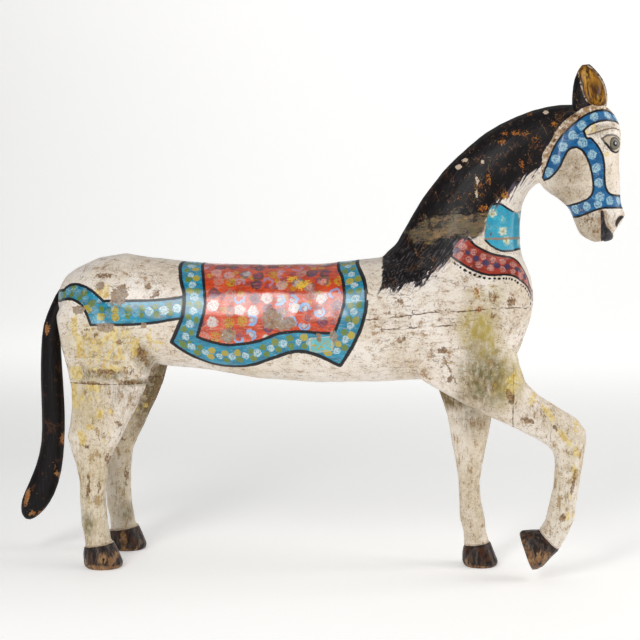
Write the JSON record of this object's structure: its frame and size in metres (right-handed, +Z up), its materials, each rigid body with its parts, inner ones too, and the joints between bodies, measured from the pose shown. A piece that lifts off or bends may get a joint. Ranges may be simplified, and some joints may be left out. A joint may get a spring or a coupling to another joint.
{
  "type": "carved wooden horse figure",
  "caption": "Painted wooden horse standing with one foreleg raised, with a painted saddle blanket, bridle and breast band, a black mane and a long black tail.",
  "frame": {"origin": "on the floor under the middle of the horse's bounding box", "axes": "+X from the tail to the nose, +Y to the horse's left, +Z up"},
  "size_m": [1.227, 0.233, 0.996],
  "materials": {
    "painted_body": "worn cream paint with a painted blanket and straps, satin",
    "painted_head": "black mane and cream face with blue bridle, worn, satin",
    "painted_legs": "worn cream paint with dark brown hooves, satin",
    "painted_tail": "near black paint, worn to brown at the tip, satin"
  },
  "bodies": {
    "root": {"trunk": "painted_body", "neck_and_head": "painted_head", "right_foreleg": "painted_legs", "left_foreleg": "painted_legs", "right_hind_leg": "painted_legs", "left_hind_leg": "painted_legs", "tail": "painted_tail"}
  },
  "joints": []
}
